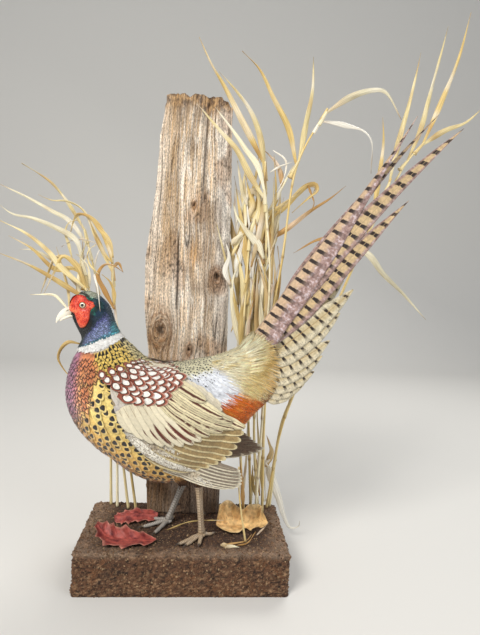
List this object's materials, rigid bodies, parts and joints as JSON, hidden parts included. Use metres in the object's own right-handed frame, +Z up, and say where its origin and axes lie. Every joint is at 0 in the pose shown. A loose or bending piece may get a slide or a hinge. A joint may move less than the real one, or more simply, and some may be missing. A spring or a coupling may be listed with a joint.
{
  "type": "taxidermy pheasant",
  "caption": "Mounted cock pheasant standing on an earth-covered base beside a weathered post, with dry grass and fallen oak leaves.",
  "frame": {"origin": "centre of the base's flat underside", "axes": "+Z up; +X along the base's long side, towards the tail, so that the bird faces -X; +Y from the bird to the post, so that the bird's left side looks to -Y"},
  "size_m": [0.8468, 0.2023, 0.9664],
  "materials": {
    "earth_coat": "rough dark brown earth and grit glued over a block",
    "weathered_wood": "silver-grey weathered softwood, cracked, with brown patches",
    "face_skin": "bare red face skin with fine papillae, crown and ear tufts dark green",
    "neck_plumage": "iridescent blue-green and violet feathers over a white collar",
    "body_plumage": "copper breast, golden spotted flanks, speckled grey-green back, pale blue, straw and rust rump",
    "bill_horn": "ivory horn, satin",
    "glass_eye": "clear glass over a cream iris and a black pupil",
    "wing_plumage": "sandy grey coverts, brown and cream striped flight feathers",
    "leg_scales": "grey-brown horn scutes, satin",
    "tail_feathers": "buff vanes with black bars and mauve fringes",
    "dry_grass": "straw-yellow dried grass blades",
    "red_leaf": "dry burgundy oak leaf",
    "tan_leaf": "dry tan oak leaf"
  },
  "bodies": {
    "root": {"base": "earth_coat", "post": "weathered_wood", "head": "face_skin", "neck": "neck_plumage", "trunk": "body_plumage", "bill_upper": "bill_horn", "bill_lower": "bill_horn", "eye_left": "glass_eye", "wing_left": "wing_plumage", "thigh_left": "body_plumage", "shank_left": "leg_scales", "foot_left": "leg_scales", "eye_right": "glass_eye", "wing_right": "wing_plumage", "thigh_right": "body_plumage", "shank_right": "leg_scales", "foot_right": "leg_scales", "tail_ridge": "tail_feathers", "tail_left_1": "tail_feathers", "tail_left_2": "tail_feathers", "tail_left_3": "tail_feathers", "tail_left_4": "tail_feathers", "tail_left_5": "tail_feathers", "tail_left_6": "tail_feathers", "tail_left_7": "tail_feathers", "tail_left_8": "tail_feathers", "tail_left_9": "tail_feathers", "tail_right_1": "tail_feathers", "tail_right_2": "tail_feathers", "tail_right_3": "tail_feathers", "tail_right_4": "tail_feathers", "tail_right_5": "tail_feathers", "tail_right_6": "tail_feathers", "tail_right_7": "tail_feathers", "tail_right_8": "tail_feathers", "grass_left_1": "dry_grass", "grass_left_2": "dry_grass", "grass_left_3": "dry_grass", "grass_left_4": "dry_grass", "grass_front": "dry_grass", "grass_inner": "dry_grass", "grass_right_1": "dry_grass", "grass_right_2": "dry_grass", "grass_right_3": "dry_grass", "grass_right_4": "dry_grass", "grass_right_5": "dry_grass", "grass_curl": "dry_grass", "stalk": "dry_grass", "leaf_red_front": "red_leaf", "leaf_red_back": "red_leaf", "leaf_tan": "tan_leaf"}
  },
  "joints": []
}
